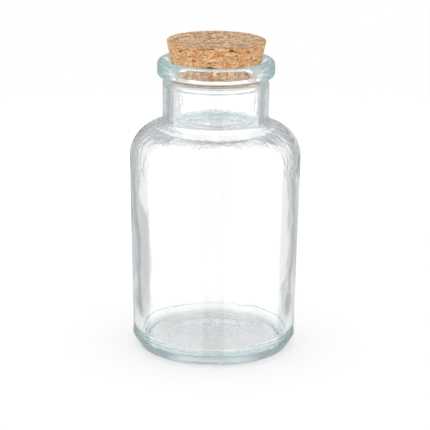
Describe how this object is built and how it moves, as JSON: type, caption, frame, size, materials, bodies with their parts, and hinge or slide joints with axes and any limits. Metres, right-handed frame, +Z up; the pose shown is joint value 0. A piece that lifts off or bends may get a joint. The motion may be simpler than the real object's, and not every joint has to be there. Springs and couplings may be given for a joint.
{
  "type": "glass jar with cork stopper",
  "caption": "Small clear glass jar with rounded shoulders, short neck, thick rolled lip and a tapered cork stopper that lifts out.",
  "frame": {"origin": "centre of the ring that the jar stands on, in the plane of the surface under it", "axes": "+Z up along the jar's axis, out of its mouth; -Y towards the small notch in the standing ring, which is the front"},
  "size_m": [0.0576, 0.0576, 0.106],
  "materials": {
    "clear_glass": "polished",
    "natural_cork": "matte"
  },
  "bodies": {
    "jar": {"glass_jar": "clear_glass"},
    "stopper": {"cork_stopper": "natural_cork"}
  },
  "joints": [
    {"name": "stopper_lift", "type": "slide", "parent": "jar", "child": "stopper", "axis": [0, 0, 1], "range_m": [0, 0.01]}
  ]
}
